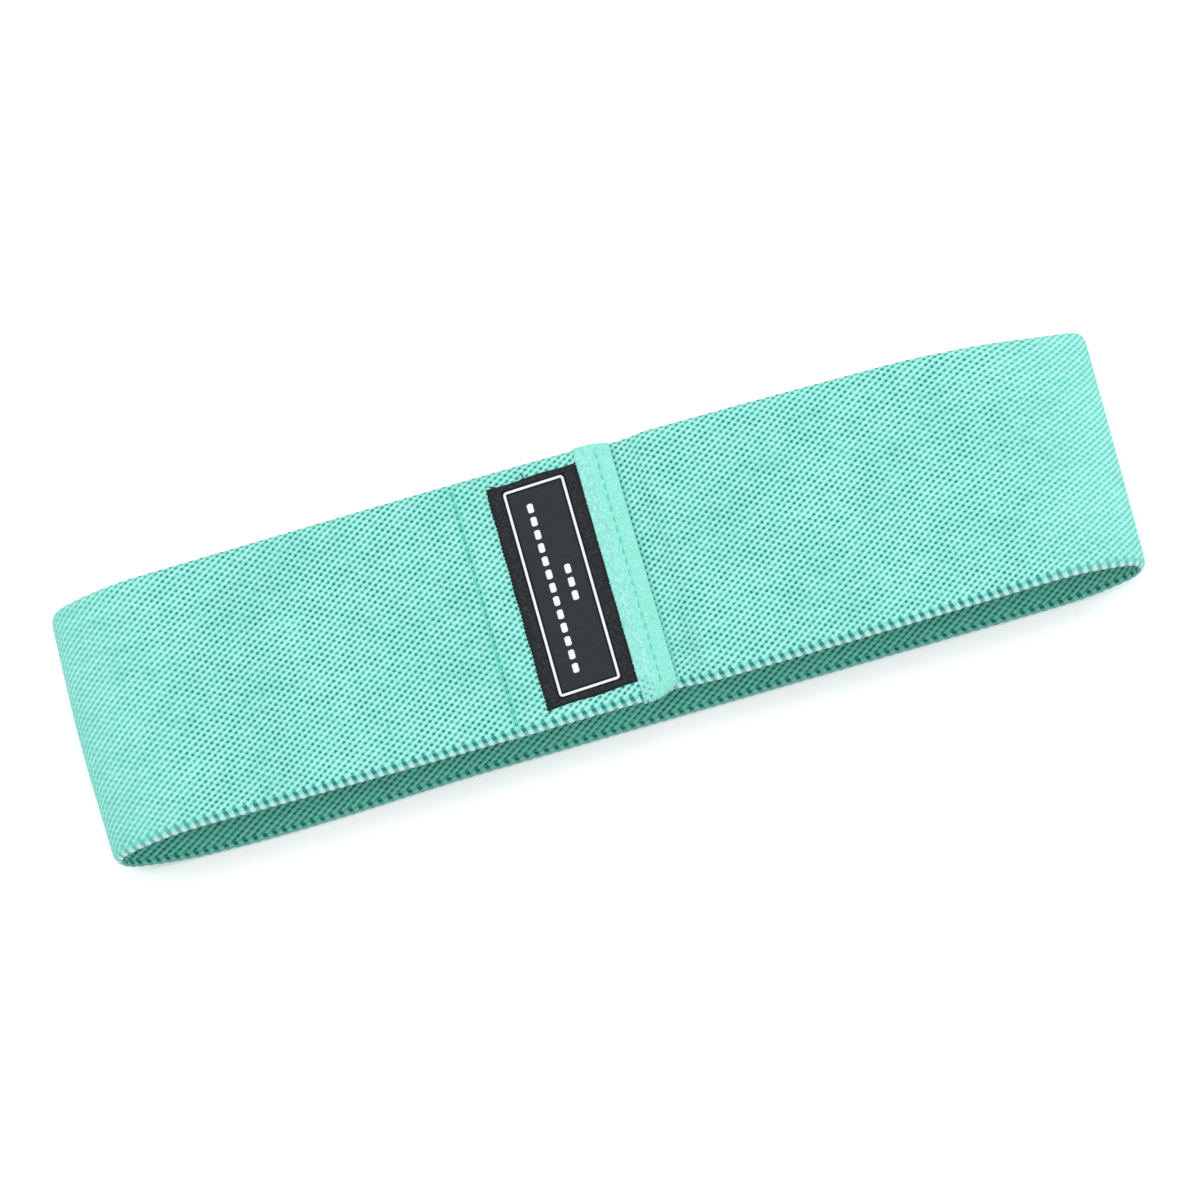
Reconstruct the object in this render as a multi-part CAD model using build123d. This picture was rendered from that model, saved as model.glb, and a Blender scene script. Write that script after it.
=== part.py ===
from build123d import *
import math
import os

# A hip resistance band: a wide loop of woven elastic webbing that lies flat on its back.
# X runs along the flattened loop, Y across the webbing, and Z is up from the surface it lies on.
# All sizes are in millimetres.

# The webbing
WIDTH = 80.0
THICK = 2.0
FACE_THICK = 0.6
EDGE_WIDTH = 1.2
THREADS = 24
THREAD_PITCH = 3.2
THREAD_SIZE = 0.8

# The loop's section, along the middle of the webbing's thickness
FLAT_HALF = 129.5
LIFT_RADIUS = 50.0
LIFT_TURN = 28.0
FOLD_RADIUS = 9.7
TOP_DIP = 1.5
MIDDLE_HALF = 45.0

# The lap where the two ends are sewn together, at the middle of the upper layer
OUTER_END = 17.0
INNER_END = -36.0
LAP_DROP = 2.1
STEP_RUN = 10.0
STEP_START = 29.0

# The tapes over the ends
TAPE_THICK = 0.4
TAPE_WIDTH = 12.0

# The label
LABEL_CENTRE = (-9.0, 0.1)
LABEL_SIZE = (28.0, 70.0, 0.7)
BORDER_SIZE = (18.8, 64.6)
BORDER_LINE = 0.8
RAISED = 0.15
DASH = (2.0, 3.0)
DASH_PITCH = 4.2
DASH_ROWS = ((-2.6, 13), (3.2, 3))

# The stitches
STITCH_LENGTH = 2.4
STITCH_WIDTH = 0.45
STITCH_HEIGHT = 0.3
STITCH_PITCH = 3.4
END_SEAM = 12.2
INNER_SEAM = -33.0
LABEL_SEAM_INSET = 1.4

HALF_THICK = THICK / 2
CORE_HALF = HALF_THICK - FACE_THICK
FACE_HALF_WIDTH = WIDTH / 2 - EDGE_WIDTH
LIFT_RISE = LIFT_RADIUS * (1 - math.cos(math.radians(LIFT_TURN)))
FOLD_RISE = 2 * FOLD_RADIUS * math.cos(math.radians(LIFT_TURN))
TOP_Z = HALF_THICK + 2 * LIFT_RISE + FOLD_RISE - TOP_DIP
INNER_Z = TOP_Z - LAP_DROP
DIP_TURN = 2 * math.degrees(math.atan(TOP_DIP / (FLAT_HALF - MIDDLE_HALF)))
DIP_RADIUS = (FLAT_HALF - MIDDLE_HALF) / math.sin(math.radians(DIP_TURN)) - LIFT_RADIUS
STEP_TURN = 2 * math.degrees(math.atan(LAP_DROP / STEP_RUN))
STEP_RADIUS = STEP_RUN / 2 / math.sin(math.radians(STEP_TURN))

# Each path is a start, a heading in degrees and a list of moves.
# A move is (length, 0) for a straight, or (radius, turn) for an arc, positive to the left.
FOLD_PATH = (
    (MIDDLE_HALF, HALF_THICK),
    0.0,
    [
        (FLAT_HALF - MIDDLE_HALF, 0),
        (LIFT_RADIUS, LIFT_TURN),
        (FOLD_RADIUS, 180 - 2 * LIFT_TURN),
        (LIFT_RADIUS, LIFT_TURN + DIP_TURN),
        (DIP_RADIUS, -DIP_TURN),
    ],
)
LOWER_PATH = ((-MIDDLE_HALF, HALF_THICK), 0.0, [(2 * MIDDLE_HALF, 0)])
OUTER_PLY_PATH = ((OUTER_END, TOP_Z), 180.0, [(OUTER_END + MIDDLE_HALF, 0)])
INNER_PLY_PATH = (
    (MIDDLE_HALF, TOP_Z),
    180.0,
    [
        (MIDDLE_HALF - STEP_START, 0),
        (STEP_RADIUS, STEP_TURN),
        (STEP_RADIUS, -STEP_TURN),
        (STEP_START - STEP_RUN - INNER_END, 0),
    ],
)


def beside(path, offset, side):
    """The edges that run beside a path, at an offset towards the outside of the loop."""
    (x, z), heading, moves = path
    heading = math.radians(heading)
    edges = []

    def point(cx, cz, radius, angle):
        return (side * (cx + radius * math.sin(angle)), 0, cz - radius * math.cos(angle))

    for size, turn in moves:
        if turn == 0:
            start = point(x, z, offset, heading)
            x += size * math.cos(heading)
            z += size * math.sin(heading)
            edges.append(Line(start, point(x, z, offset, heading)))
        else:
            radius = math.copysign(size, turn)
            swing = math.radians(turn)
            cx = x - radius * math.sin(heading)
            cz = z + radius * math.cos(heading)
            angles = [heading, heading + swing / 2, heading + swing]
            edges.append(ThreePointArc(*[point(cx, cz, radius + offset, a) for a in angles]))
            heading += swing
            x = cx + radius * math.sin(heading)
            z = cz - radius * math.cos(heading)
    return edges


def strip(path, low, high, y_from, y_to, side=1):
    """A strip of cloth or rubber that follows a path, between two offsets and two rims."""
    inner = beside(path, low, side)
    outer = beside(path, high, side)
    ends = [Line(inner[0] @ 0, outer[0] @ 0), Line(inner[-1] @ 1, outer[-1] @ 1)]
    face = Face(Wire([*inner, *outer, *ends]))
    return Pos(0, y_from, 0) * Solid.extrude(face, Vector(0, y_to - y_from, 0))


def thread_centres():
    return [(i - (THREADS - 1) / 2) * THREAD_PITCH for i in range(THREADS)]


def outer_cloth(path, side=1):
    return strip(path, CORE_HALF, HALF_THICK, -FACE_HALF_WIDTH, FACE_HALF_WIDTH, side)


def inner_cloth(path, side=1):
    """The inner weave, with the ribs of yarn that fill the spaces between the rubber threads."""
    skin = strip(path, -HALF_THICK, -CORE_HALF, -FACE_HALF_WIDTH, FACE_HALF_WIDTH, side)
    half = THREAD_SIZE / 2
    starts = [-FACE_HALF_WIDTH] + [y + half for y in thread_centres()]
    stops = [y - half for y in thread_centres()] + [FACE_HALF_WIDTH]
    ribs = [strip(path, -CORE_HALF, CORE_HALF, a, b, side) for a, b in zip(starts, stops)]
    return skin.fuse(*ribs)


def rubber_threads(path, side=1):
    half = THREAD_SIZE / 2
    return [strip(path, -CORE_HALF, CORE_HALF, y - half, y + half, side) for y in thread_centres()]


def near_edge(path, side=1):
    return strip(path, -HALF_THICK, HALF_THICK, -WIDTH / 2, -FACE_HALF_WIDTH, side)


def far_edge(path, side=1):
    return strip(path, -HALF_THICK, HALF_THICK, FACE_HALF_WIDTH, WIDTH / 2, side)


def block(x_from, x_to, y_from, y_to, z_from, z_to):
    """A plain block between two corners."""
    size = (x_to - x_from, y_to - y_from, z_to - z_from)
    centre = ((x_from + x_to) / 2, (y_from + y_to) / 2, (z_from + z_to) / 2)
    return Pos(*centre) * Solid.make_box(*size).translate(Vector(*[-s / 2 for s in size]))


def end_tape():
    """The smooth tape that folds over the outer end of the webbing."""
    top = TOP_Z + HALF_THICK
    edge = OUTER_END + TAPE_THICK
    half = WIDTH / 2
    leg = block(edge - TAPE_WIDTH, edge, -half, half, top, top + TAPE_THICK)
    wall = block(OUTER_END, edge, -half, half, top - THICK, top)
    return leg.fuse(wall)


def inner_end_tape():
    """The same tape over the hidden end, on the inside of the loop."""
    bottom = INNER_Z - HALF_THICK
    edge = INNER_END - TAPE_THICK
    half = WIDTH / 2
    leg = block(edge, edge + TAPE_WIDTH, -half, half, bottom - TAPE_THICK, bottom)
    wall = block(edge, INNER_END, -half, half, bottom, bottom + THICK)
    return leg.fuse(wall)


def stitch_row(x, z, half_length):
    """A straight row of stitches across the webbing, lying on the surface at z."""
    count = int(2 * half_length / STITCH_PITCH)
    first = -(count - 1) / 2 * STITCH_PITCH
    stitches = []
    for i in range(count):
        y = first + i * STITCH_PITCH
        ends = (y - STITCH_LENGTH / 2, y + STITCH_LENGTH / 2)
        stitches.append(
            block(x - STITCH_WIDTH / 2, x + STITCH_WIDTH / 2, *ends, z, z + STITCH_HEIGHT)
        )
    return stitches


def end_seam():
    """The row through the end tape and both layers."""
    top = TOP_Z + HALF_THICK + TAPE_THICK
    bottom = INNER_Z - HALF_THICK - STITCH_HEIGHT
    return stitch_row(END_SEAM, top, FACE_HALF_WIDTH) + stitch_row(
        END_SEAM, bottom, FACE_HALF_WIDTH
    )


def inner_seam():
    """The row through both layers that holds the hidden end."""
    top = TOP_Z + HALF_THICK
    bottom = INNER_Z - HALF_THICK - TAPE_THICK - STITCH_HEIGHT
    return stitch_row(INNER_SEAM, top, FACE_HALF_WIDTH) + stitch_row(
        INNER_SEAM, bottom, FACE_HALF_WIDTH
    )


def label():
    x, y = LABEL_CENTRE
    wide, long, thick = LABEL_SIZE
    z = TOP_Z + HALF_THICK
    return block(x - wide / 2, x + wide / 2, y - long / 2, y + long / 2, z, z + thick)


def label_border():
    """The raised woven frame on the label, and two rows of plain dashes inside it."""
    x, y = LABEL_CENTRE
    z = TOP_Z + HALF_THICK + LABEL_SIZE[2]
    half_x, half_y = BORDER_SIZE[0] / 2, BORDER_SIZE[1] / 2
    outside = block(x - half_x, x + half_x, y - half_y, y + half_y, z, z + RAISED)
    inside_x, inside_y = half_x - BORDER_LINE, half_y - BORDER_LINE
    inside = block(x - inside_x, x + inside_x, y - inside_y, y + inside_y, z, z + RAISED)
    pieces = [outside.cut(inside)]
    for row_x, count in DASH_ROWS:
        dash_x = (x + row_x - DASH[0] / 2, x + row_x + DASH[0] / 2)
        for i in range(count):
            row_y = y + (i - (count - 1) / 2) * DASH_PITCH
            dash_y = (row_y - DASH[1] / 2, row_y + DASH[1] / 2)
            pieces.append(block(*dash_x, *dash_y, z, z + RAISED))
    return pieces


def label_seam():
    """The stitches along the label's two long sides."""
    x, y = LABEL_CENTRE
    wide, long, thick = LABEL_SIZE
    z = TOP_Z + HALF_THICK + thick
    reach = wide / 2 - LABEL_SEAM_INSET
    rows = stitch_row(x - reach, z, long / 2) + stitch_row(x + reach, z, long / 2)
    return [Pos(0, y, 0) * stitch for stitch in rows]


def save(name, pieces):
    """One STEP file for one node, from a solid or a list of solids."""
    pieces = pieces if isinstance(pieces, list) else [pieces]
    shape = pieces[0] if len(pieces) == 1 else Compound(children=pieces)
    export_step(shape, "parts/" + name + ".step")


os.makedirs("parts", exist_ok=True)
LAYERS = {
    "outer_cloth": outer_cloth,
    "inner_cloth": inner_cloth,
    "rubber_threads": rubber_threads,
    "near_edge": near_edge,
    "far_edge": far_edge,
}
for layer, make in LAYERS.items():
    save("right_" + layer, make(FOLD_PATH))
    save("left_" + layer, make(FOLD_PATH, side=-1))
    pieces = []
    for path in (LOWER_PATH, OUTER_PLY_PATH, INNER_PLY_PATH):
        made = make(path)
        pieces += made if isinstance(made, list) else [made]
    save("middle_" + layer, pieces)
save("end_tape", end_tape())
save("inner_end_tape", inner_end_tape())
save("end_seam", end_seam())
save("inner_seam", inner_seam())
save("label", label())
save("label_border", label_border())
save("label_seam", label_seam())
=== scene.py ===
import math

import bpy
import numpy as np
from mathutils import Matrix, Vector


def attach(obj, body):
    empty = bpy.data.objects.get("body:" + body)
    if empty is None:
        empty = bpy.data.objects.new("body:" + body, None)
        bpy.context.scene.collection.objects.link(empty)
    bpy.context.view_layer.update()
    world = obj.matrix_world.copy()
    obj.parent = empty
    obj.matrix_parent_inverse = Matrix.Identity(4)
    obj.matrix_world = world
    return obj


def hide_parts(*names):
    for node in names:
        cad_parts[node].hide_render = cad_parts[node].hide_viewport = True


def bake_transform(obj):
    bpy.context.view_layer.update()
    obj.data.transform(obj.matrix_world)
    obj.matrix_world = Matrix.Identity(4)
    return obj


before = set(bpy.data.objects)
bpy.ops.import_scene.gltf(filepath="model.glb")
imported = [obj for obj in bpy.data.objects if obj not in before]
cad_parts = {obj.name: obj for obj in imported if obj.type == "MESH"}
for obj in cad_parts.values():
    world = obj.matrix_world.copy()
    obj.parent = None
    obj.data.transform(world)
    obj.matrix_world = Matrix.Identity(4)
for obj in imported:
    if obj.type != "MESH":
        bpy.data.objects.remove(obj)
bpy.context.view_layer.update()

# A hip resistance band, a loop of woven elastic webbing lying flat with its lap on top.
# Lengths are in millimetres until place() turns them into metres.
MM = 0.001

# The loop's section, as in the CAD model.
HALF_WIDTH = 40.0
HALF_THICK = 1.0
FLAT_HALF = 129.5
LIFT_RADIUS = 50.0
LIFT_TURN = 28.0
FOLD_RADIUS = 9.7
TOP_DIP = 1.5
MIDDLE_HALF = 45.0
OUTER_END = 17.0
INNER_END = -36.0
LAP_DROP = 2.1
STEP_RUN = 10.0
STEP_START = 29.0
LIFT_RISE = LIFT_RADIUS * (1 - math.cos(math.radians(LIFT_TURN)))
FOLD_RISE = 2 * FOLD_RADIUS * math.cos(math.radians(LIFT_TURN))
TOP_Z = HALF_THICK + 2 * LIFT_RISE + FOLD_RISE - TOP_DIP
DIP_TURN = 2 * math.degrees(math.atan(TOP_DIP / (FLAT_HALF - MIDDLE_HALF)))
DIP_RADIUS = (FLAT_HALF - MIDDLE_HALF) / math.sin(math.radians(DIP_TURN)) - LIFT_RADIUS
STEP_TURN = 2 * math.degrees(math.atan(LAP_DROP / STEP_RUN))
STEP_RADIUS = STEP_RUN / 2 / math.sin(math.radians(STEP_TURN))

# The weave: dark pits in staggered rows, PITCH apart along the webbing and ROW apart across it.
# Slits run from SLITS_FROM to the rim and the edge yarn from EDGE_FROM, both from the middle.
# The rims curl in from CURL_FROM. GROOVE, PIT and SLIT are depths, and FOLD_REACH is how far a fold acts.
PITCH = 3.03
ROW = 1.97
SLIT_AT = 37.9
SLIT_LEAN = 0.32
SLITS_FROM = 37.95
EDGE_FROM = 39.25
CURL = 0.06
CURL_FROM = 36.0
GROOVE = 0.11
PIT = 0.32
SLIT = 0.34
FOLD_REACH = 50.0

# The tapes, the seams and the label on the lap.
TAPE_WIDTH = 12.0
TAPE_THICK = 0.4
END_SEAM = 12.2
INNER_SEAM = -33.0
LABEL_CENTRE = (-9.0, 0.1)
LABEL_HALF = (14.0, 34.8)
LABEL_SKEW = 0.035
LABEL_THICK = 0.5
BORDER_HALF = (9.4, 32.3)
BORDER_LINE = 0.8
DASH_ROWS = ((-2.6, 13), (3.2, 3))
DASH_PITCH = 4.2
DASH_HALF = 1.45
DASH_WIDTH = 1.9
SATIN_HEIGHT = 0.16
SATIN_SIDES = 9
STITCH_PITCH = 3.4
STITCH_LENGTH = 2.5

# ---------------------------------------------------------------- the strap's path

# Each move is a length and 0 for a straight, or a radius and the degrees that an arc turns.
LEFT_MOVES = [
    (OUTER_END + MIDDLE_HALF, 0),
    (DIP_RADIUS, -DIP_TURN),
    (LIFT_RADIUS, LIFT_TURN + DIP_TURN),
    (FOLD_RADIUS, 180 - 2 * LIFT_TURN),
    (LIFT_RADIUS, LIFT_TURN),
    (FLAT_HALF, 0),
]
RIGHT_MOVES = [
    (FLAT_HALF, 0),
    (LIFT_RADIUS, LIFT_TURN),
    (FOLD_RADIUS, 180 - 2 * LIFT_TURN),
    (LIFT_RADIUS, LIFT_TURN + DIP_TURN),
    (DIP_RADIUS, -DIP_TURN),
    (MIDDLE_HALF - STEP_START, 0),
    (STEP_RADIUS, STEP_TURN),
    (STEP_RADIUS, -STEP_TURN),
    (STEP_START - STEP_RUN - INNER_END, 0),
]


def move_length(size, turn):
    return size if turn == 0 else size * abs(math.radians(turn))


LEFT_LENGTH = sum(move_length(*m) for m in LEFT_MOVES)
STRAP_LENGTH = LEFT_LENGTH + sum(move_length(*m) for m in RIGHT_MOVES)


def along(s):
    """The strap's middle line at distances s from its outer end: x, z and heading."""
    s = np.asarray(s, float)
    out_x, out_z, out_heading = np.zeros_like(s), np.zeros_like(s), np.zeros_like(s)
    x, z, heading = OUTER_END, TOP_Z, math.pi
    begin = 0.0
    for size, turn in LEFT_MOVES + RIGHT_MOVES:
        here = s >= begin if begin > 0 else np.ones_like(s, bool)
        d = s[here] - begin
        span = move_length(size, turn)
        if turn == 0:
            out_x[here] = x + d * math.cos(heading)
            out_z[here] = z + d * math.sin(heading)
            out_heading[here] = heading
            x += span * math.cos(heading)
            z += span * math.sin(heading)
        else:
            radius = math.copysign(size, turn)
            centre_x, centre_z = x - radius * math.sin(heading), z + radius * math.cos(heading)
            angle = heading + d / radius
            out_x[here] = centre_x + radius * np.sin(angle)
            out_z[here] = centre_z - radius * np.cos(angle)
            out_heading[here] = angle
            heading += math.radians(turn)
            x, z = centre_x + radius * math.sin(heading), centre_z - radius * math.cos(heading)
        begin += span
    return out_x, out_z, out_heading


def smooth(low, high, v):
    t = np.clip((v - low) / (high - low), 0, 1)
    return t * t * (3 - 2 * t)


def hill(centre, reach, v):
    """A smooth rise from 0 to 1 and back, reach wide on each side."""
    return np.cos(np.clip((v - centre) / reach, -1, 1) * math.pi / 2) ** 2


def bend(s):
    """How tightly the webbing is folded at s, from 0 to 1."""
    fold = sum(move_length(*m) for m in LEFT_MOVES[:3]) + move_length(*LEFT_MOVES[3]) / 2
    return np.maximum(hill(fold, FOLD_REACH, s), hill(2 * LEFT_LENGTH - fold, FOLD_REACH, s))


def settle(x, y, z):
    """The loop's slackness: its near rim sags, its far rim arches and droops at +X, and its folds bulge."""
    far = (y + HALF_WIDTH) / (2 * HALF_WIDTH)
    near_rise = -1.7 * hill(0, 140, x) - 1.2 * smooth(20, 110, x)
    far_rise = 3.6 * hill(-45, 150, x) - 4.5 * smooth(50, 150, x) - 3.0 * smooth(120, 158, x)
    rise = near_rise * (1 - far) + far_rise * far
    lift = np.clip((z - HALF_THICK) / (TOP_Z - HALF_THICK), 0, 1.2)
    droop = 1.4 * hill(OUTER_END - 1, 15, x) * smooth(24, 40, -y) * smooth(15, 25, z)
    right, left = smooth(90, 158, x), smooth(90, 158, -x)
    spread = 4.2 * far * right - (1.5 * far + 0.95 * hill(0.5, 0.6, far)) * left
    pull = 1.0 * hill(OUTER_END, 14, x) * smooth(20, 40, -y) * smooth(15, 25, z)
    pull = pull - 1.2 * hill(-105, 60, x) * (1 - far) * (1 - lift) + far * (0.7 - 2.9 * smooth(100, 150, x))
    return x + spread, y + pull, z + rise * lift - droop


def place(s, y, n):
    """Points of the strap in metres, from the distance along it, across it, and out from its middle.

    The outer end is tucked in a little, at its corners most, and the inner ply's near rim lies
    just inside the outer one's.
    """
    s, y, n = np.broadcast_arrays(s, y, n)
    corner = np.clip(1 - s / 9, 0, 1.1) ** 2
    under = smooth(STRAP_LENGTH - 66, STRAP_LENGTH - 50, s)
    y_in = y + (2.6 * corner + 1.1 * under) * smooth(22, 40, -y) - corner * smooth(28, 40, y)
    s = s + 1.2 * np.clip(1 - s / 12, 0, 1.1)
    n_in = n - CURL * np.maximum(np.abs(y) - CURL_FROM, 0) ** 2
    x, z, heading = along(s)
    x, y_in, z = settle(x + n_in * np.sin(heading), y_in, z - n_in * np.cos(heading))
    return np.stack([x, y_in, z], -1) * MM


def on_top(x, y, n):
    """Points by the outer ply of the lap, from their x."""
    return place(OUTER_END - np.asarray(x, float), y, n)


def on_label(x, y, n):
    """Points by the outer ply, from their distances from the centre of the label, a little askew."""
    x = np.asarray(x, float)
    return on_top(LABEL_CENTRE[0] + x, LABEL_CENTRE[1] + y + LABEL_SKEW * x, n)


def under_lap(x, y, n):
    """Points by the inner ply of the lap, from their x. Its face inside the loop is at n = -HALF_THICK."""
    return place(STRAP_LENGTH - (np.asarray(x, float) - INNER_END), y, n)


# ---------------------------------------------------------------- meshes


def mesh_object(name, points, faces, material):
    me = bpy.data.meshes.new(name)
    points = np.asarray(points, np.float32).reshape(-1, 3)
    loops = np.concatenate([np.asarray(f, np.int32).ravel() for f in faces])
    sizes = np.concatenate([np.full(len(f), f.shape[1], np.int32) for f in faces])
    starts = np.concatenate([[0], np.cumsum(sizes)[:-1]]).astype(np.int32)
    me.vertices.add(len(points))
    me.vertices.foreach_set("co", points.ravel())
    me.loops.add(len(loops))
    me.loops.foreach_set("vertex_index", loops)
    me.polygons.add(len(sizes))
    me.polygons.foreach_set("loop_start", starts)
    me.polygons.foreach_set("use_smooth", np.ones(len(sizes), bool))
    me.update(calc_edges=True)
    ob = bpy.data.objects.new(name, me)
    bpy.context.scene.collection.objects.link(ob)
    me.materials.append(material)
    return ob


def grid_faces(rows, columns, closed=False, first=0):
    """The quads of a grid of points. closed joins its last column to its first."""
    i, j = np.meshgrid(np.arange(rows - 1), np.arange(columns - (not closed)), indexing="ij")
    i, j = i.ravel(), j.ravel()
    k = (j + 1) % columns
    corners = [i * columns + j, i * columns + k, (i + 1) * columns + k, (i + 1) * columns + j]
    return first + np.stack(corners, 1)


def rim_faces(rows, columns):
    """The quads that join the edges of a grid to those of its copy, which follows it in the list."""
    top = np.arange(columns)
    right = np.arange(1, rows) * columns + columns - 1
    bottom = (rows - 1) * columns + np.arange(columns - 2, -1, -1)
    left = np.arange(rows - 2, 0, -1) * columns
    loop = np.concatenate([top, right, bottom, left])
    after = np.roll(loop, -1)
    count = rows * columns
    return np.stack([after, loop, loop + count, after + count], 1)


def shell(name, top, bottom, material):
    """A closed piece of cloth between two grids of points, with its faces turned outwards."""
    rows, columns = top.shape[:2]
    count = rows * columns
    under = grid_faces(rows, columns, first=count)[:, ::-1]
    faces = [grid_faces(rows, columns), under, rim_faces(rows, columns)]
    points = np.concatenate([top.reshape(-1, 3), bottom.reshape(-1, 3)])
    return mesh_object(name, points, faces, material)


def give_vectors(ob, name, values):
    attribute = ob.data.attributes.new(name, "FLOAT_VECTOR", "POINT")
    attribute.data.foreach_set("vector", np.asarray(values, np.float32).ravel())


def tubes(name, lines, radius, material, sides=8):
    """Threads along lines of points in metres, each tapering at its ends."""
    turn = 2 * math.pi * np.arange(sides) / sides
    points, faces, first = [], [], 0
    for line in lines:
        tangent = np.gradient(line, axis=0)
        tangent /= np.linalg.norm(tangent, axis=1, keepdims=True)
        side = np.cross(tangent, (0.0, 0.0, 1.0))
        side /= np.linalg.norm(side, axis=1, keepdims=True)
        up = np.cross(side, tangent)
        t = np.linspace(-0.98, 0.98, len(line))
        width = radius * MM * np.sqrt(1 - t**6)[:, None, None]
        ring = side[:, None] * np.cos(turn)[None, :, None] + up[:, None] * np.sin(turn)[None, :, None]
        points.append((line[:, None] + ring * width).reshape(-1, 3))
        faces.append(grid_faces(len(line), sides, closed=True, first=first)[:, ::-1])
        faces.append(first + np.arange(sides)[None])
        faces.append(first + (len(line) - 1) * sides + np.arange(sides)[None, ::-1])
        first += len(line) * sides
    return mesh_object(name, np.concatenate(points), faces, material)


# ---------------------------------------------------------------- the webbing


def wander(s, y):
    """The small unevenness of the weave: where the pattern at (s, y) is really drawn from."""
    shift_s = 0.22 * np.sin(s / 17 + y / 31) + 0.16 * np.sin(s / 7.3 - y / 13 + 1.0)
    shift_y = 0.10 * np.sin(s / 23 + 2.0) + 0.07 * np.sin(s / 9.1 + y / 19)
    return s + shift_s, y + shift_y * smooth(38, 30, np.abs(y))


def relief(s, y, side):
    """How far the weave's surface lies below its highest yarns. side is 1 outside and -1 inside."""
    s_w, y_w = wander(s, y)
    rib = np.cos(2 * np.pi * (s_w / PITCH + side * y_w / ROW))
    cross = np.cos(2 * np.pi * (s_w / PITCH - side * y_w / ROW))
    twice = np.cos(4 * np.pi * s_w / PITCH)
    pit = smooth(0.05, 0.85, 0.43 * rib + 0.35 * cross + 0.22 * twice)
    closing = 1 - 0.7 * bend(s) * (side > 0)
    weave = 0.02 + GROOVE * (rib + 1) / 2 + PIT * pit * closing
    across = np.abs(y)
    slit_phase = (s_w + side * SLIT_LEAN * (across - SLIT_AT)) / PITCH
    slit = smooth(-0.3, 0.6, np.cos(2 * np.pi * slit_phase))
    in_slits = smooth(SLITS_FROM - 0.3, SLITS_FROM + 0.2, -y)
    weave += (0.05 + SLIT * slit * closing - weave) * in_slits
    edge = 0.12 + 0.12 * np.cos(2 * np.pi * slit_phase)
    weave += (edge - weave) * smooth(EDGE_FROM - 0.4, EDGE_FROM + 0.3, across)
    seam = OUTER_END - INNER_SEAM
    return weave + 0.22 * np.exp(-(((s - seam) / 0.7) ** 2)) * (side > 0)


def section():
    """The webbing's section all the way round: points across and out, and the way outwards at each."""
    step = ROW / 4
    reach = int(38.9 / step)
    flat = np.arange(-reach, reach + 1) * step
    turn = np.radians(90 - 30 * np.arange(1, 6))
    rim_y = flat[-1] + (HALF_WIDTH - flat[-1]) * np.cos(turn)
    rim_n = HALF_THICK * np.sin(turn)
    level = np.ones_like(flat)
    y = np.concatenate([flat, rim_y, flat[::-1], -rim_y[::-1]])
    n = np.concatenate([level * HALF_THICK, rim_n, -level * HALF_THICK, rim_n[::-1]])
    out_y = np.concatenate([0 * level, np.cos(turn), 0 * level, -np.cos(turn)])
    out_n = np.concatenate([level, np.sin(turn), -level, np.sin(turn[::-1])])
    return y, n, out_y, out_n, len(flat), len(turn)


def end_faces(first, flats, turns, flip):
    """The faces that close one end of the webbing."""
    last = 2 * flats + turns - 1
    j = np.arange(flats - 1)
    quads = first + np.stack([j, j + 1, last - (j + 1), last - j], 1)
    far = first + np.arange(flats - 1, flats + turns + 1)[None]
    near = first + np.concatenate([np.arange(last, last + turns + 1), [0]])[None]
    return [f[:, ::-1] if flip else f for f in (quads, far, near)]


def webbing(name, s_from, s_to, material):
    """One side of the strap, with its weave as real relief and both rims rounded."""
    step = PITCH / 6
    inside = np.arange(math.ceil(s_from / step + 0.3), s_to / step - 0.3) * step
    s = np.concatenate([[s_from], inside, [s_to]])[:, None]
    y, n, out_y, out_n, flats, turns = section()
    side = np.where(n >= 0, 1.0, -1.0)

    def surface(ds, dk):
        """The woven surface, moved a little along the webbing and round its section."""
        s_here, y_here, n_here = s + ds, y + dk * out_n, n - dk * out_y
        sink = relief(s_here, y_here, side)
        return place(s_here, y_here - sink * out_y, n_here - sink * out_n)

    points = surface(0, 0)
    rows, columns = points.shape[:2]
    faces = [grid_faces(rows, columns, closed=True)]
    faces += end_faces(0, flats, turns, False)
    faces += end_faces((rows - 1) * columns, flats, turns, True)
    ob = mesh_object(name, points, faces, material)
    s_w, y_w = wander(*np.broadcast_arrays(s, y[None]))
    give_vectors(ob, "cloth", np.stack([s_w, y_w, np.broadcast_to(n, s_w.shape)], -1))
    closing = np.broadcast_to(bend(s), s_w.shape)
    seam = np.exp(-(((s - (OUTER_END - INNER_SEAM)) / 0.9) ** 2))
    give_vectors(ob, "state", np.stack([closing, np.broadcast_to(seam, s_w.shape), 0 * s_w], -1))
    # Both sides of the strap are shaded from the same surface, so that they meet without a line.
    d = 0.05
    normals = np.cross(surface(0, d) - surface(0, -d), surface(d, 0) - surface(-d, 0)).reshape(-1, 3)
    normals /= np.maximum(np.linalg.norm(normals, axis=1, keepdims=True), 1e-12)
    ob.data.normals_split_custom_set_from_vertices(normals.tolist())
    return ob


# ---------------------------------------------------------------- tapes


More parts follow.
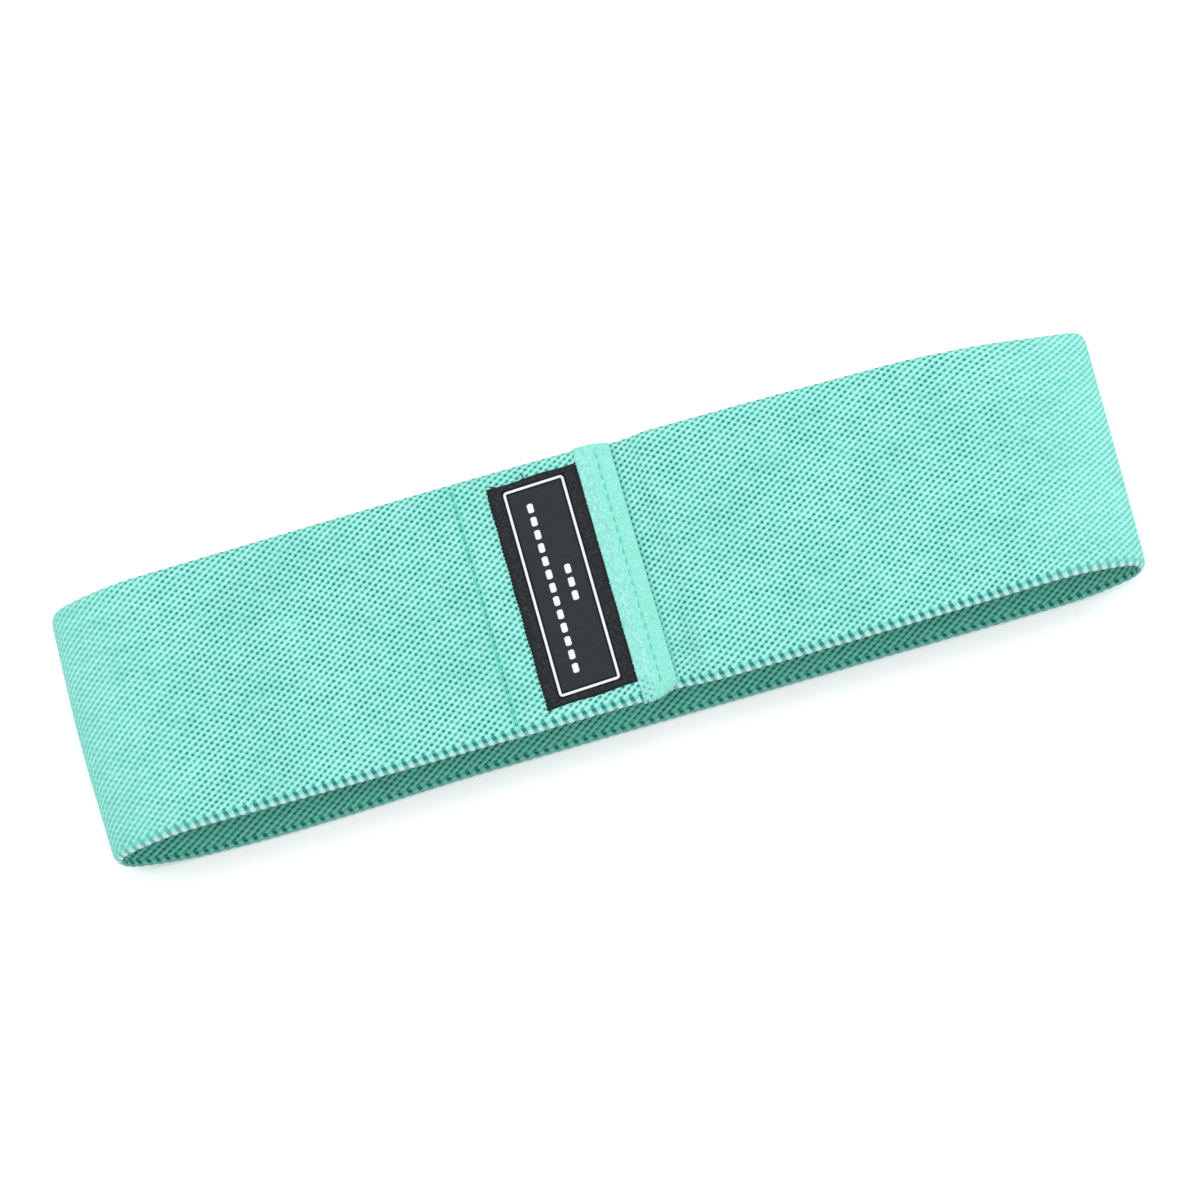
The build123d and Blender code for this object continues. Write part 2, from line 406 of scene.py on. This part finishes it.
def tape(name, s_end, s_way, face, material):
    """A tape over an end of the webbing: along its face, round the end, and down both rims.

    s_end is where the webbing ends, s_way is 1 where it runs on from there towards higher s,
    and face is 1 for the outer face and -1 for the inner one.
    """
    run = np.linspace(TAPE_WIDTH - 0.6, 0.5, 45)
    back = np.concatenate([[TAPE_WIDTH, TAPE_WIDTH - 0.05, TAPE_WIDTH - 0.3], run])
    n = np.concatenate([[0.95, 1.25, 1.37], np.full_like(run, HALF_THICK + TAPE_THICK)])
    turn = np.radians(np.linspace(75, 0, 6))
    back = np.concatenate([back, 0.35 - 0.8 * np.cos(turn), [-0.45, -0.45]])
    n = np.concatenate([n, 0.6 + 0.8 * np.sin(turn), [-0.2, -1.0]])[:, None]
    level = np.linspace(-39.0, 39.0, 157)
    y = np.concatenate([[-40.35, -40.35, -40.3, -40.05, -39.6], level, [39.6, 40.05, 40.3, 40.35, 40.35]])
    rim = np.array([2.4, 1.5, 0.8, 0.3, 0.08])
    drop = np.concatenate([rim, 0 * level, rim[::-1]])
    height = n - drop * (n + 1.0) / 2.5
    back = np.broadcast_to(back[:, None], height.shape)
    flat = (n > 1.3) * (drop < 0.1)
    furrow = 0.2 * np.exp(-(((back - (OUTER_END - END_SEAM)) / 0.55) ** 2)) if face > 0 else 0
    ripple = 0.05 * np.sin(back * 1.7 + y * 0.8) * np.sin(y * 1.9 - back * 0.9)
    ripple = ripple - 0.04 * np.cos(y * 2 * np.pi / STITCH_PITCH)
    height = height - flat * (furrow + np.abs(ripple))
    y = np.broadcast_to(y, height.shape)
    outside = place(s_end + s_way * back, y, face * height)[::-1]
    inner_height = face * (height - 0.3 * smooth(-1.0, 0.5, height))
    inside = place(s_end + s_way * np.maximum(back, -0.12), np.clip(y, -40.05, 40.05), inner_height)[::-1]
    ob = shell(name, outside, inside, material)
    cloth = np.stack([back, y, np.broadcast_to(n, back.shape)], -1)[::-1].reshape(-1, 3)
    give_vectors(ob, "cloth", np.concatenate([cloth, cloth]))
    return ob


# ---------------------------------------------------------------- the label


def label(material):
    """The woven label, with uneven long edges where its threads turn back."""
    y = np.linspace(-LABEL_HALF[1], LABEL_HALF[1], 481)
    flat = np.linspace(-0.96, 0.96, 90)
    x = np.concatenate([[-1.0, -0.992, -0.975], flat, [0.975, 0.992, 1.0]])
    ends = np.array([0.0, 0.25, 0.42])
    crown = np.concatenate([ends, np.full_like(flat, LABEL_THICK), ends[::-1]])
    rise = np.minimum(1, (LABEL_HALF[1] - np.abs(y)) / 0.4)[:, None]
    teeth = 0.16 * np.sin(2 * np.pi * y / 1.15) + 0.10 * np.sin(y / 2.1 + 0.6)
    half = LABEL_HALF[0] + teeth[:, None] * np.abs(x) ** 6
    long_wave = 0.25 * np.sin(x * 5 + 0.8) * np.sign(y)[:, None] * smooth(33, 36, np.abs(y))[:, None]
    px = half * x
    py = y[:, None] + long_wave
    weft = 0.03 * np.sin(2 * np.pi * y / 0.75)[:, None] * np.sin(2 * np.pi * px / 1.1)
    quilt = 0.10 * smooth(9.2, 10.4, np.abs(px)) * (crown > 0.45)
    top = HALF_THICK + (crown + weft - quilt * 0.6) * np.sqrt(rise)
    under = np.full_like(top, HALF_THICK - 0.05)
    ob = shell("woven_label", on_label(px, py, top), on_label(px, py, under), material)
    cloth = np.stack([px, py, top], -1).reshape(-1, 3)
    give_vectors(ob, "cloth", np.concatenate([cloth, cloth]))
    return ob


def outline(half_x, half_y, radius, step):
    """A closed rounded rectangle as points (x, y), evenly spaced."""
    centres = [(1, -1), (1, 1), (-1, 1), (-1, -1)]
    points = []
    for i, (sx, sy) in enumerate(centres):
        turn = np.radians(np.linspace(-90, 0, 6) + 90 * i)
        cx, cy = sx * (half_x - radius), sy * (half_y - radius)
        points += [(cx + radius * math.cos(a), cy + radius * math.sin(a)) for a in turn]
    points = np.array(points + points[:1])
    reach = np.concatenate([[0], np.cumsum(np.linalg.norm(np.diff(points, axis=0), axis=1))])
    even = np.linspace(0, reach[-1], round(reach[-1] / step), endpoint=False)
    return np.stack([np.interp(even, reach, points[:, k]) for k in (0, 1)], -1)


def satin(lines, width, height, base):
    """Raised rows of close white threads along lines of points (x, y): points and faces."""
    turn = np.radians(np.linspace(0, 180, SATIN_SIDES))
    points, faces, first = [], [], 0
    for line, closed in lines:
        count = len(line)
        tangent = np.roll(line, -1, 0) - np.roll(line, 1, 0) if closed else np.gradient(line, axis=0)
        tangent /= np.linalg.norm(tangent, axis=1, keepdims=True)
        across = np.stack([tangent[:, 1], -tangent[:, 0]], -1)
        i = np.arange(count)[:, None]
        size = 1 + 0.05 * np.cos(i * math.pi / 2)
        if not closed:
            size = size * np.sqrt(np.minimum(1, (np.minimum(i, count - 1 - i) + 0.4) / 2.5))
        x = line[:, :1] + across[:, :1] * width / 2 * np.cos(turn) * size
        y = line[:, 1:] + across[:, 1:] * width / 2 * np.cos(turn) * size
        n = base + height * np.sin(turn) ** 0.6 * (1 - 0.22 * np.cos(i * math.pi / 2))
        points.append(on_label(x, y, n).reshape(-1, 3))
        faces.append(grid_faces(count, SATIN_SIDES, closed=True, first=first)[:, ::-1])
        if closed:
            j = np.arange(SATIN_SIDES)
            k = (j + 1) % SATIN_SIDES
            last = (count - 1) * SATIN_SIDES
            faces.append(first + np.stack([j, k, last + k, last + j], 1))
        else:
            cap = np.arange(SATIN_SIDES)[None]
            faces.append(first + cap)
            faces.append(first + (count - 1) * SATIN_SIDES + cap[:, ::-1])
        first += count * SATIN_SIDES
    return np.concatenate(points), faces


def label_border(material):
    """The raised white frame, and plain dashes where a label has its wording."""
    base = HALF_THICK + LABEL_THICK - 0.03
    half_x, half_y = (h - BORDER_LINE / 2 for h in BORDER_HALF)
    frame_line = outline(half_x, half_y, 0.7, 0.14)
    frame_points, frame_faces = satin([(frame_line, True)], BORDER_LINE, SATIN_HEIGHT, base)
    bars = []
    for x, count in DASH_ROWS:
        for i in range(count):
            middle = (i - (count - 1) / 2) * DASH_PITCH
            y = np.arange(middle - DASH_HALF, middle + DASH_HALF + 0.01, DASH_HALF / 10)
            bars.append((np.stack([np.full_like(y, x), y], -1), False))
    bar_points, bar_faces = satin(bars, DASH_WIDTH, SATIN_HEIGHT, base)
    faces = frame_faces + [f + len(frame_points) for f in bar_faces]
    return mesh_object("woven_border", np.concatenate([frame_points, bar_points]), faces, material)


# ---------------------------------------------------------------- seams


def stitches(put, x, y_middle, half_length, surface, rng, length=STITCH_LENGTH, side=1, uneven=0.12):
    """The lines of a row of stitches across the webbing: each comes up, lies flat and goes down again."""
    count = int(2 * half_length / STITCH_PITCH)
    lines = []
    for i in range(count):
        y = y_middle + (i - (count - 1) / 2) * STITCH_PITCH
        reach = length / 2 * rng.uniform(0.85, 1.1)
        t = np.linspace(-1, 1, 11)
        lean = uneven * rng.uniform(-1, 1)
        n = surface + side * (0.12 - 0.5 * np.abs(t) ** 5)
        lines.append(put(x + lean * t + uneven * rng.uniform(-0.5, 0.5), y + reach * t, n))
    return lines


def loose_thread(x, y, reach_x, reach_y, surface):
    """A cut end of thread that curls away over the cloth."""
    t = np.linspace(0, 1, 14)
    px = x + reach_x * t + 0.35 * np.sin(4 * t)
    py = y + reach_y * t + 0.25 * np.sin(5 * t + 1)
    return on_label(px, py, surface + 0.25 + 0.5 * t * (1 - t))


# ---------------------------------------------------------------- materials


class Nodes:
    """A cloth material's shader nodes, with sums written as calls."""

    def __init__(self, name, roughness, sheen=0.0, specular=0.25):
        self.material = bpy.data.materials.new(name)
        self.material.use_nodes = True
        self.tree = self.material.node_tree
        self.shader = self.tree.nodes["Principled BSDF"]
        self.shader.inputs["Roughness"].default_value = roughness
        self.shader.inputs["Sheen Weight"].default_value = sheen
        self.shader.inputs["Sheen Roughness"].default_value = 0.5
        self.shader.inputs["Specular IOR Level"].default_value = specular

    def set(self, socket, value):
        if isinstance(value, bpy.types.NodeSocket):
            self.tree.links.new(value, socket)
        elif isinstance(value, tuple):
            socket.default_value = (*value, 1)
        else:
            socket.default_value = value

    def math(self, operation, a, b=None):
        node = self.tree.nodes.new("ShaderNodeMath")
        node.operation = operation
        self.set(node.inputs[0], a)
        if b is not None:
            self.set(node.inputs[1], b)
        return node.outputs[0]

    def add(self, a, b):
        return self.math("ADD", a, b)

    def take(self, a, b):
        return self.math("SUBTRACT", a, b)

    def times(self, a, b):
        return self.math("MULTIPLY", a, b)

    def wave(self, cycles):
        return self.math("COSINE", self.times(cycles, 2 * math.pi))

    def smooth(self, value, low, high):
        """0 at low and 1 at high, with low above high for a fall."""
        node = self.tree.nodes.new("ShaderNodeMapRange")
        node.interpolation_type = "SMOOTHSTEP"
        self.set(node.inputs["Value"], value)
        node.inputs["From Min"].default_value = min(low, high)
        node.inputs["From Max"].default_value = max(low, high)
        out = node.outputs["Result"]
        return out if low < high else self.take(1.0, out)

    def mix(self, amount, a, b):
        node = self.tree.nodes.new("ShaderNodeMix")
        node.data_type = "RGBA"
        self.set(node.inputs["Factor"], amount)
        self.set(node.inputs[6], a)
        self.set(node.inputs[7], b)
        return node.outputs[2]

    def blend(self, amount, a, b):
        return self.add(a, self.times(amount, self.take(b, a)))

    def attribute(self, name):
        node = self.tree.nodes.new("ShaderNodeAttribute")
        node.attribute_name = name
        split = self.tree.nodes.new("ShaderNodeSeparateXYZ")
        self.tree.links.new(node.outputs["Vector"], split.inputs[0])
        return split.outputs[0], split.outputs[1], split.outputs[2]

    def vector(self, x, y, z):
        node = self.tree.nodes.new("ShaderNodeCombineXYZ")
        for socket, value in zip(node.inputs, (x, y, z)):
            self.set(socket, value)
        return node.outputs[0]

    def noise(self, where, scale, detail=2.0, roughness=0.5):
        node = self.tree.nodes.new("ShaderNodeTexNoise")
        self.tree.links.new(where, node.inputs["Vector"])
        node.inputs["Scale"].default_value = scale
        node.inputs["Detail"].default_value = detail
        node.inputs["Roughness"].default_value = roughness
        return node.outputs["Fac"]

    def bump(self, height, distance, strength):
        node = self.tree.nodes.new("ShaderNodeBump")
        self.set(node.inputs["Height"], height)
        node.inputs["Distance"].default_value = distance * MM
        node.inputs["Strength"].default_value = strength
        self.tree.links.new(node.outputs[0], self.shader.inputs["Normal"])

    def colour(self, value):
        self.set(self.shader.inputs["Base Color"], value)


YARN = (0.134, 0.47, 0.403)
YARN_BRIGHT = (0.273, 0.672, 0.601)
YARN_WHITE = (0.46, 0.62, 0.61)
YARN_GREEN = (0.092, 0.504, 0.361)
# The pits' colour: partly their own darker tone, partly painted shade in their hollows.
PIT_TONE_AND_SHADE = (0.014, 0.175, 0.145)
SEAM_MINT = (0.076, 0.487, 0.361)
EDGE_DULL = (0.143, 0.37, 0.336)
EDGE_PALE = (0.45, 0.61, 0.64)
TAPE_DEEP = (0.109, 0.403, 0.336)


def webbing_material():
    n = Nodes("woven_elastic", roughness=0.8, sheen=0.06, specular=0.15)
    s, y, out = n.attribute("cloth")
    fold, seam, _ = n.attribute("state")
    side = n.math("SIGN", out)
    outer = n.math("MAXIMUM", side, 0.0)
    across = n.math("ABSOLUTE", y)
    where = n.vector(s, y, n.times(side, 50.0))
    fibre = n.noise(n.vector(n.times(s, 2.4), n.times(y, 6.0), n.times(side, 9.0)), 1.0, 3.0, 0.6)
    rows = n.noise(n.vector(n.times(s, 0.04), n.times(y, 1.0), n.times(side, 31.0)), 1.0, 2.0)
    patches = n.noise(where, 0.045, 2.0)
    depth = n.noise(where, 0.75, 3.0, 0.6)
    stretches = n.noise(n.vector(n.add(s, 70.0), n.times(y, 1.4), n.times(side, 17.0)), 0.26, 3.0, 0.6)
    specks = n.noise(n.vector(n.add(s, 30.0), n.times(y, 1.5), n.times(side, 25.0)), 1.1, 3.0, 0.7)
    # the pits between the yarns, dark partly as open weave and partly as painted shade in their hollows
    a, b = n.times(s, 1 / PITCH), n.times(n.times(side, y), 1 / ROW)
    rib, cross = n.wave(n.add(a, b)), n.wave(n.take(a, b))
    lattice = n.add(n.add(n.times(rib, 0.43), n.times(cross, 0.35)), n.times(n.wave(n.times(a, 2.0)), 0.22))
    rough_lattice = n.add(lattice, n.times(n.take(fibre, 0.5), 0.5))
    pits = n.smooth(rough_lattice, 0.05, 0.90)
    grooves = n.smooth(n.add(rib, n.times(cross, 0.35)), -0.2, 1.2)
    # on the inner face the grooves run on as dark lines: partly its own weave, partly painted shade inside
    # the loop
    pits = n.blend(outer, n.math("MAXIMUM", pits, n.times(grooves, 0.9)), pits)
    lean = n.times(n.times(side, SLIT_LEAN), n.take(across, SLIT_AT))
    slit_wave = n.wave(n.times(n.add(s, lean), 1 / PITCH))
    slits = n.smooth(n.add(slit_wave, n.times(n.take(fibre, 0.5), 0.5)), -0.25, 0.6)
    in_slits = n.smooth(y, -SLITS_FROM + 0.3, -SLITS_FROM - 0.2)
    in_edge = n.smooth(across, EDGE_FROM - 0.3, EDGE_FROM + 0.4)
    dark = n.times(pits, n.take(1.0, in_slits))
    even = n.add(0.10, n.times(n.smooth(stretches, 0.28, 0.72), 0.62))
    dark = n.times(dark, n.add(n.times(depth, 0.90), even))
    dark = n.add(dark, n.times(n.times(in_slits, slits), n.take(1.0, n.times(in_edge, 0.9))))
    dark = n.times(dark, n.take(1.0, n.times(n.times(fold, outer), 0.72)))
    # the yarns, lighter along the ribs: partly their own tone, partly a painted highlight on the raised
    # yarns
    ridges = n.smooth(n.add(rib, n.times(cross, 0.3)), 0.9, -1.1)
    light = n.add(n.times(ridges, 0.75), n.times(n.take(fibre, 0.5), 1.1))
    # the inner face's ribs are lighter still, a painted highlight against its shaded grooves
    light = n.add(light, n.times(n.take(1.0, outer), n.take(ridges, 0.35)))
    light = n.add(light, n.times(n.take(rows, 0.5), 0.5))
    light = n.add(light, n.add(n.times(n.take(patches, 0.5), 0.6), n.times(n.take(stretches, 0.5), -0.6)))
    yarn = n.mix(n.smooth(light, -0.05, 0.95), YARN, YARN_BRIGHT)
    yarn = n.mix(n.times(n.smooth(specks, 0.56, 0.70), 0.75), yarn, YARN_WHITE)
    yarn = n.mix(n.times(n.smooth(specks, 0.48, 0.28), 0.60), yarn, YARN_GREEN)
    # the inner face is greener: partly its own weave, partly painted shade and bounce light inside the loop
    yarn = n.mix(n.times(n.take(1.0, outer), 0.45), yarn, YARN_GREEN)
    yarn = n.mix(n.times(n.times(seam, outer), 0.5), yarn, SEAM_MINT)
    flecks_and_shade = n.smooth(n.add(n.times(slit_wave, 0.8), n.times(n.take(fibre, 0.5), 2.6)), -0.5, 0.7)
    # the inner half of the edge yarn always takes the dull colour, painted shade
    flecks_and_shade = n.math("MAXIMUM", flecks_and_shade, n.take(1.0, outer))
    yarn = n.mix(in_edge, yarn, n.mix(flecks_and_shade, EDGE_PALE, EDGE_DULL))
    # the pits and slits take the dark colour, partly painted shade
    n.colour(n.mix(dark, yarn, PIT_TONE_AND_SHADE))
    n.bump(n.add(n.times(fibre, 0.5), n.times(dark, -1.0)), 0.12, 0.8)
    return n.material


def tape_material():
    n = Nodes("smooth_tape", roughness=0.7, sheen=0.12)
    back, y, out = n.attribute("cloth")
    where = n.vector(back, y, out)
    fine = n.noise(where, 2.4, 4.0, 0.7)
    coarse = n.noise(n.vector(n.times(back, 1.1), n.times(y, 0.8), out), 1.0, 3.0, 0.65)
    a, b = n.times(back, 1 / PITCH), n.times(y, 1 / ROW)
    pits = n.smooth(n.add(n.wave(n.add(a, b)), n.wave(n.take(a, b))), 0.7, 1.8)
    rough = n.smooth(back, 6.3, 7.6)
    mottled = n.times(rough, n.smooth(coarse, 0.42, 0.62))
    near = n.times(n.smooth(y, -32.0, -35.0), n.smooth(back, 7.0, 8.4))
    base = n.mix(n.smooth(fine, 0.3, 0.7), (0.134, 0.454, 0.37), (0.252, 0.655, 0.571))
    pale = n.mix(n.smooth(fine, 0.35, 0.65), (0.181, 0.504, 0.437), (0.311, 0.672, 0.613))
    cloth = n.mix(n.times(rough, 0.8), base, pale)
    cloth = n.mix(n.times(mottled, 0.45), cloth, TAPE_DEEP)
    # near the rim the webbing's pits show through, dark partly with painted shade
    n.colour(n.mix(n.times(n.times(near, pits), 0.8), cloth, PIT_TONE_AND_SHADE))
    n.bump(n.add(fine, n.times(mottled, -0.6)), 0.12, 0.7)
    return n.material


def label_material():
    n = Nodes("label_cloth", roughness=0.7, specular=0.08)
    x, y, out = n.attribute("cloth")
    weft, warp = n.wave(n.times(y, 1 / 0.40)), n.wave(n.times(x, 1 / 0.55))
    where = n.vector(x, y, out)
    grain = n.noise(n.vector(n.times(x, 1.2), n.times(y, 3.0), out), 1.0, 4.0, 0.6)
    blotch = n.noise(where, 1.6, 3.0, 0.7)
    to_side = n.smooth(n.math("ABSOLUTE", x), BORDER_HALF[0] - 0.4, BORDER_HALF[0] + 0.4)
    to_end = n.smooth(n.math("ABSOLUTE", y), BORDER_HALF[1] - 0.4, BORDER_HALF[1] + 0.4)
    margin = n.math("MAXIMUM", to_side, to_end)
    from_side = n.take(n.math("ABSOLUTE", x), BORDER_HALF[0] - BORDER_LINE / 2)
    from_end = n.take(n.math("ABSOLUTE", y), BORDER_HALF[1] - BORDER_LINE / 2)
    by_frame = n.smooth(n.math("ABSOLUTE", n.math("MAXIMUM", from_side, from_end)), 1.3, 0.6)
    by_edge = n.smooth(n.math("MAXIMUM", from_side, n.add(from_end, 2.0)), 3.6, 4.8)
    panel = n.mix(grain, (0.014, 0.018, 0.021), (0.029, 0.034, 0.038))
    thread = n.mix(n.smooth(blotch, 0.40, 0.65), (0.012, 0.014, 0.016), (0.03, 0.035, 0.039))
    thread = n.mix(n.smooth(grain, 0.30, 0.50), (0.008, 0.01, 0.011), thread)
    black = n.times(n.math("MAXIMUM", by_frame, n.times(by_edge, n.smooth(blotch, 0.3, 0.7))), 0.85)
    n.colour(n.mix(black, n.mix(margin, panel, thread), (0.004, 0.004, 0.005)))
    n.bump(n.add(n.times(weft, 0.4), n.add(n.times(warp, 0.25), grain)), 0.07, 0.7)
    return n.material


def thread_material(name, colour, roughness, sheen=0.0, grain=0.15):
    """A spun thread: fine variation in shade, and fibres in the bump."""
    n = Nodes(name, roughness=roughness, sheen=sheen)
    where = n.tree.nodes.new("ShaderNodeTexCoord").outputs["Object"]
    fibres = n.noise(where, 3500.0, 3.0)
    low = tuple(c * (1 - grain) for c in colour)
    high = tuple(min(1.0, c * (1 + grain)) for c in colour)
    n.colour(n.mix(fibres, low, high))
    n.bump(fibres, 0.06, 0.6)
    return n.material


# ---------------------------------------------------------------- camera, floor, light


def camera():
    """The view from high up in front, with the band turned in the picture."""
    azimuth, elevation, roll = math.radians(2.0), math.radians(71.0), math.radians(-18.05)
    right = Vector((math.cos(azimuth), math.sin(azimuth), 0))
    ahead = Vector((-math.sin(azimuth), math.cos(azimuth), 0))
    up = ahead * math.sin(elevation) + Vector((0, 0, math.cos(elevation)))
    back = right.cross(up)
    across = right * math.cos(roll) + up * math.sin(roll)
    upwards = up * math.cos(roll) - right * math.sin(roll)
    data = bpy.data.cameras.new("camera")
    data.lens = 140.1
    data.clip_start, data.clip_end = 0.05, 20
    ob = bpy.data.objects.new("camera", data)
    bpy.context.scene.collection.objects.link(ob)
    spot = Vector((0.0006, -0.001, 0.012)) + back * 1.4
    ob.matrix_world = Matrix.Translation(spot) @ Matrix((across, upwards, back)).transposed().to_4x4()
    bpy.context.scene.camera = ob


def area_light(name, spot, size, power):
    data = bpy.data.lights.new(name, "AREA")
    data.shape = "DISK"
    data.size = size
    data.energy = power
    ob = bpy.data.objects.new(name, data)
    bpy.context.scene.collection.objects.link(ob)
    ob.location = spot
    ob.rotation_mode = "QUATERNION"
    ob.rotation_quaternion = (-Vector(spot)).to_track_quat("-Z", "Y")


def studio():
    scene = bpy.context.scene
    scene.view_settings.view_transform = "Standard"
    bpy.ops.mesh.primitive_plane_add(size=20, location=(0, 0, 0))
    floor = bpy.context.active_object
    floor.name = "floor"
    material = bpy.data.materials.new("floor")
    material.use_nodes = True
    shader = material.node_tree.nodes["Principled BSDF"]
    shader.inputs["Base Color"].default_value = (0.95, 0.95, 0.95, 1)
    shader.inputs["Roughness"].default_value = 0.9
    shader.inputs["Specular IOR Level"].default_value = 0.1
    floor.data.materials.append(material)
    world = bpy.data.worlds.new("studio")
    scene.world = world
    world.use_nodes = True
    background = world.node_tree.nodes["Background"]
    background.inputs["Color"].default_value = (1, 1, 1, 1)
    background.inputs["Strength"].default_value = 0.97
    area_light("key", (-0.15, 0.15, 1.4), 1.8, 14)
    area_light("side", (1.1, 0.1, 0.6), 0.7, 3.5)


# ---------------------------------------------------------------- the band

rng = np.random.default_rng(7)
woven = webbing_material()
smooth_tape = tape_material()
mint_thread = thread_material("mint_thread", (0.101, 0.47, 0.37), 0.6, 0.1)
black_thread = thread_material("black_thread", (0.014, 0.011, 0.012), 0.55)
white_thread = thread_material("white_thread", (0.605, 0.613, 0.638), 0.6, 0.0, 0.08)

left = webbing("webbing_left", 0.0, LEFT_LENGTH, woven)
right = webbing("webbing_right", LEFT_LENGTH, STRAP_LENGTH, woven)
outer_tape = tape("end_tape_cloth", 0.0, 1, 1, smooth_tape)
inner_tape = tape("inner_end_tape_cloth", STRAP_LENGTH, -1, -1, smooth_tape)
label_cloth = label(label_material())
border = label_border(white_thread)

tape_top = HALF_THICK + TAPE_THICK - 0.2
end_rows = stitches(on_top, END_SEAM, 0, 38.5, tape_top, rng)
end_rows += stitches(under_lap, END_SEAM, 0, 38.5, -HALF_THICK, rng, side=-1)
end_seam = tubes("end_seam_thread", end_rows, 0.16, mint_thread)
inner_rows = stitches(on_top, INNER_SEAM, 0, 38.5, HALF_THICK - 0.15, rng, length=2.0, uneven=0.3)
inner_rows += stitches(under_lap, INNER_SEAM, 0, 38.5, -HALF_THICK - TAPE_THICK, rng, side=-1)
inner_seam = tubes("inner_seam_thread", inner_rows, 0.2, mint_thread)
label_top = HALF_THICK + LABEL_THICK
label_rows = []
for way in (-1, 1):
    label_rows += stitches(on_label, way * 12.6, 0, LABEL_HALF[1], label_top - 0.02, rng)
corner_x, corner_y = -LABEL_HALF[0], LABEL_HALF[1]
label_rows.append(loose_thread(corner_x + 3, corner_y - 0.6, -1.6, 1.6, HALF_THICK))
label_rows.append(loose_thread(corner_x + 11, corner_y - 0.8, 0.9, 2.4, HALF_THICK))
label_rows.append(loose_thread(corner_x + 1, 0.6 - corner_y, -0.8, -1.5, HALF_THICK))
label_seam = tubes("label_seam_thread", label_rows, 0.17, black_thread)

for piece, side, sign in ((left, "left", -1), (right, "right", 1)):
    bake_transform(piece)
    layers = ("outer_cloth", "inner_cloth", "near_edge", "far_edge", "rubber_threads")
    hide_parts(*[part + "_" + layer for part in (side, "middle") for layer in layers])
for piece, node, slot in (
    (outer_tape, "end_tape", "smooth_tape"),
    (inner_tape, "inner_end_tape", "smooth_tape"),
    (label_cloth, "label", "label_cloth"),
    (border, "label_border", "label_weave"),
    (end_seam, "end_seam", "sewing_thread"),
    (inner_seam, "inner_seam", "sewing_thread"),
    (label_seam, "label_seam", "label_thread"),
):
    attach(piece, "middle")
    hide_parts(node)
studio()
camera()
